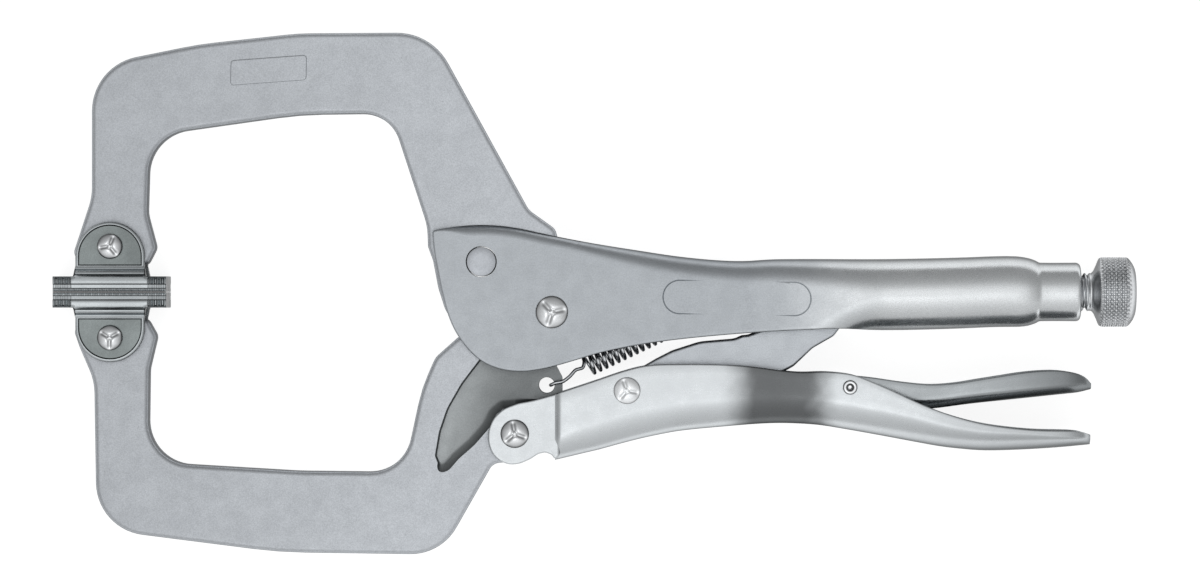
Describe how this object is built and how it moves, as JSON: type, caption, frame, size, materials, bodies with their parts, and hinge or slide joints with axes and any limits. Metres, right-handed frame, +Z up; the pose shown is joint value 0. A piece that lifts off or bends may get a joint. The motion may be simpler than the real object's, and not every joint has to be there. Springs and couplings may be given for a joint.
{
  "type": "locking pliers",
  "caption": "Locking C-clamp pliers: fixed and moving C-shaped jaws with swivel pads, toggle-locked sheet-steel handles, release lever and knurled adjusting screw.",
  "frame": {"origin": "middle of the tool's box in plan, on the surface it lies on", "axes": "+X along the handle toward the adjusting screw, +Y toward the upper, fixed jaw, +Z up through the thickness of the tool as it lies flat on its side"},
  "size_m": [0.2752, 0.1326, 0.0181],
  "materials": {
    "handle_steel": "satin nickel plate over pressed steel sheet",
    "jaw_steel": "satin nickel plate over a forged steel jaw, fine grain",
    "rivet_steel": "bright plated rivet heads",
    "bright_steel": "bright nickel plate over pressed steel sheet",
    "lever_steel": "bright nickel plate over pressed steel sheet, darker",
    "screw_steel": "nickel plate, knurled head, rolled thread",
    "spring_steel": "bright drawn spring wire",
    "pad_steel": "bright plated steel, clamp faces ribbed"
  },
  "bodies": {
    "upper_handle": {"upper_handle": "handle_steel", "upper_jaw": "jaw_steel", "upper_jaw_rivet": "handle_steel", "main_pivot_rivet": "rivet_steel", "upper_pad_rivet": "rivet_steel"},
    "lower_jaw": {"lower_jaw": "jaw_steel", "lower_pad_rivet": "rivet_steel"},
    "lower_handle": {"lower_handle": "bright_steel", "handle_pivot_rivet": "rivet_steel", "toggle_link_rivet": "rivet_steel", "release_lever_rivet": "lever_steel"},
    "toggle_link": {"toggle_link": "bright_steel"},
    "release_lever": {"release_lever": "lever_steel"},
    "adjusting_screw": {"adjusting_screw": "screw_steel"},
    "upper_pad": {"upper_pad": "pad_steel"},
    "lower_pad": {"lower_pad": "pad_steel"},
    "tension_spring": {"tension_spring": "spring_steel"}
  },
  "joints": [
    {"name": "jaw_pivot", "type": "hinge", "parent": "upper_handle", "child": "lower_jaw", "pos_m": [-0.01103, -0.00473, 0.00905], "axis": [0, 0, 1], "range_deg": [0, 28], "deforming": ["tension_spring"]},
    {"name": "lower_handle_pivot", "type": "hinge", "parent": "lower_jaw", "child": "lower_handle", "pos_m": [-0.02043, -0.03563, 0.00905], "axis": [0, 0, 1], "range_deg": [-68.74, 0]},
    {"name": "toggle_link_pivot", "type": "hinge", "parent": "lower_handle", "child": "toggle_link", "pos_m": [0.00807, -0.02463, 0.00905], "axis": [0, 0, 1], "range_deg": [0, 66.2]},
    {"name": "release_lever_pivot", "type": "hinge", "parent": "lower_handle", "child": "release_lever", "pos_m": [0.06467, -0.02383, 0.00905], "axis": [0, 0, 1], "range_deg": [-9, 0]},
    {"name": "screw_travel", "type": "slide", "parent": "upper_handle", "child": "adjusting_screw", "axis": [1, 0, 0], "range_m": [0, 0.022]},
    {"name": "upper_pad_swivel", "type": "hinge", "parent": "upper_handle", "child": "upper_pad", "pos_m": [-0.12323, 0.01197, 0.00905], "axis": [0, 0, 1], "range_deg": [0, 14]},
    {"name": "lower_pad_swivel", "type": "hinge", "parent": "lower_jaw", "child": "lower_pad", "pos_m": [-0.12323, -0.01123, 0.00905], "axis": [0, 0, 1], "range_deg": [-14, 0]},
    {"name": "spring_anchor_pivot", "type": "hinge", "parent": "upper_handle", "child": "tension_spring", "pos_m": [0.03687, 0.00007, 0.00905], "axis": [0, 0, 1], "range_deg": [0, 3.01]}
  ],
  "couplings": [
    {"joint": "lower_handle_pivot", "follows": "jaw_pivot", "ratio": -2.455},
    {"joint": "toggle_link_pivot", "follows": "jaw_pivot", "ratio": 2.364},
    {"joint": "upper_pad_swivel", "follows": "jaw_pivot", "ratio": 0.5},
    {"joint": "lower_pad_swivel", "follows": "jaw_pivot", "ratio": -0.5},
    {"joint": "spring_anchor_pivot", "follows": "jaw_pivot", "ratio": 0.107}
  ]
}
